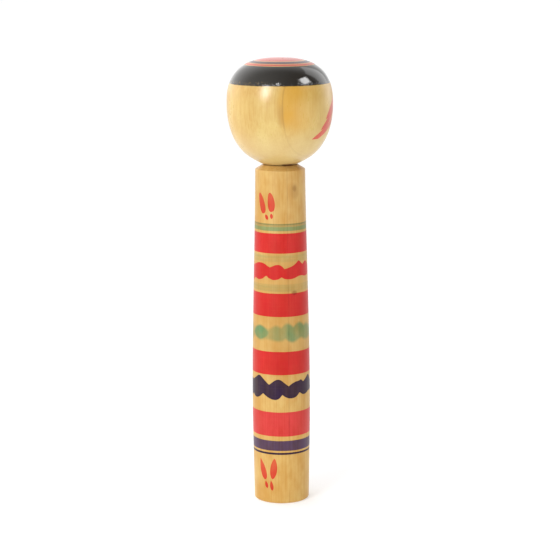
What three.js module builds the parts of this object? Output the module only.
// Kokeshi doll: two turned wooden pieces. The head's neck peg has a flared end, which is
// held captive in an undercut socket in the top of the body, so the head turns but stays on.
// Millimetres, +Z up. The origin is the centre of the flat base, on the turning axis.
import * as THREE from 'three';

// Driving dimensions
const TOTAL_HEIGHT = 242.4; // eight sun
const SHOULDER_HEIGHT = 185.4; // top of the body, where the head sits down
const HEAD_RADIUS = 28.5;
const HEAD_WIDEST_HEIGHT = 219.4;
const SEAT_RADIUS = 9.2; // flat ring under the head, on which it rests
const GAP = 0.3; // between the head and the body, all the way round
const FACETS = 72; // flats round every turned surface

// Neck peg, measured down from the underside of the head
const PEG_RADIUS = 6.2;
const PEG_NECK_LENGTH = 7.5;
const KNOB_RADIUS = 7.4; // wider than the socket's mouth
const KNOB_TAPER = 3.5;
const KNOB_LENGTH = 7;
const KNOB_CHAMFER = 1.6;

// Base and shoulder of the body
const BASE_RADIUS = 15;
const BASE_BEVEL = 0.7;
const SHOULDER_RADIUS = 13.45;
const SHOULDER_DROP = 2.4; // height of the sloping shoulder
const SHOULDER_TOP_RADIUS = 9.4;

const HEAD_COLOUR = '#dfb269';
const BODY_COLOUR = '#d9a95f';
const WOOD_ROUGHNESS = 0.4;

const point = (radius, height) => new THREE.Vector2(radius, height);

// A closed turned solid. The outline runs from the axis at the bottom, round the outside of
// the wood, and back to the axis.
function turned(name, outline, colour) {
  const geometry = new THREE.LatheGeometry(outline, FACETS);
  geometry.rotateX(Math.PI / 2);
  const material = new THREE.MeshStandardMaterial({
    color: colour,
    roughness: WOOD_ROUGHNESS,
    metalness: 0,
  });
  const mesh = new THREE.Mesh(geometry, material);
  mesh.name = name;
  return mesh;
}

// Peg outline from the axis at its lower end up to the seat, grown by a clearance.
// The head uses it as it is, and the socket uses it in reverse with the running gap.
function pegOutline(seat, clearance) {
  const neckEnd = seat - PEG_NECK_LENGTH;
  const knobTop = neckEnd - KNOB_TAPER;
  const knobEnd = knobTop - KNOB_LENGTH;
  return [
    point(0, knobEnd - clearance),
    point(KNOB_RADIUS - KNOB_CHAMFER + clearance, knobEnd - clearance),
    point(KNOB_RADIUS + clearance, knobEnd + KNOB_CHAMFER - clearance),
    point(KNOB_RADIUS + clearance, knobTop + clearance),
    point(PEG_RADIUS + clearance, neckEnd + clearance),
    point(PEG_RADIUS + clearance, seat - clearance),
  ];
}

// An apple-shaped head, flattened on top, that narrows below to the ring it sits on.
function head() {
  const seat = SHOULDER_HEIGHT + GAP;
  const outside = new THREE.SplineCurve([
    point(SEAT_RADIUS, seat),
    point(13.6, 187.9),
    point(19.8, 192.3),
    point(25.2, 200.3),
    point(27.95, 210),
    point(HEAD_RADIUS, HEAD_WIDEST_HEIGHT),
    point(27.8, 226.6),
    point(25.4, 232.7),
    point(21.5, 237.3),
    point(16, 240.3),
    point(10, 241.75),
    point(4, 242.3),
    point(0, TOTAL_HEIGHT),
  ]);
  const outline = [...pegOutline(seat, 0), ...outside.getPoints(28)];
  return turned('head', outline, HEAD_COLOUR);
}

// A slim barrel of a body, widest below the middle, with a sloping shoulder and the socket.
function body() {
  const side = new THREE.SplineCurve([
    point(BASE_RADIUS, BASE_BEVEL),
    point(15.4, 24),
    point(15.75, 50),
    point(15.65, 76),
    point(15.1, 106),
    point(14.35, 137),
    point(13.8, 161),
    point(SHOULDER_RADIUS, SHOULDER_HEIGHT - SHOULDER_DROP),
  ]);
  const socket = pegOutline(SHOULDER_HEIGHT + GAP, GAP).reverse();
  const outline = [
    point(0, 0),
    point(BASE_RADIUS - BASE_BEVEL, 0),
    ...side.getPoints(21),
    point(SHOULDER_TOP_RADIUS, SHOULDER_HEIGHT),
    ...socket,
  ];
  return turned('body', outline, BODY_COLOUR);
}

const doll = new THREE.Group();
doll.add(body(), head());

export default doll;
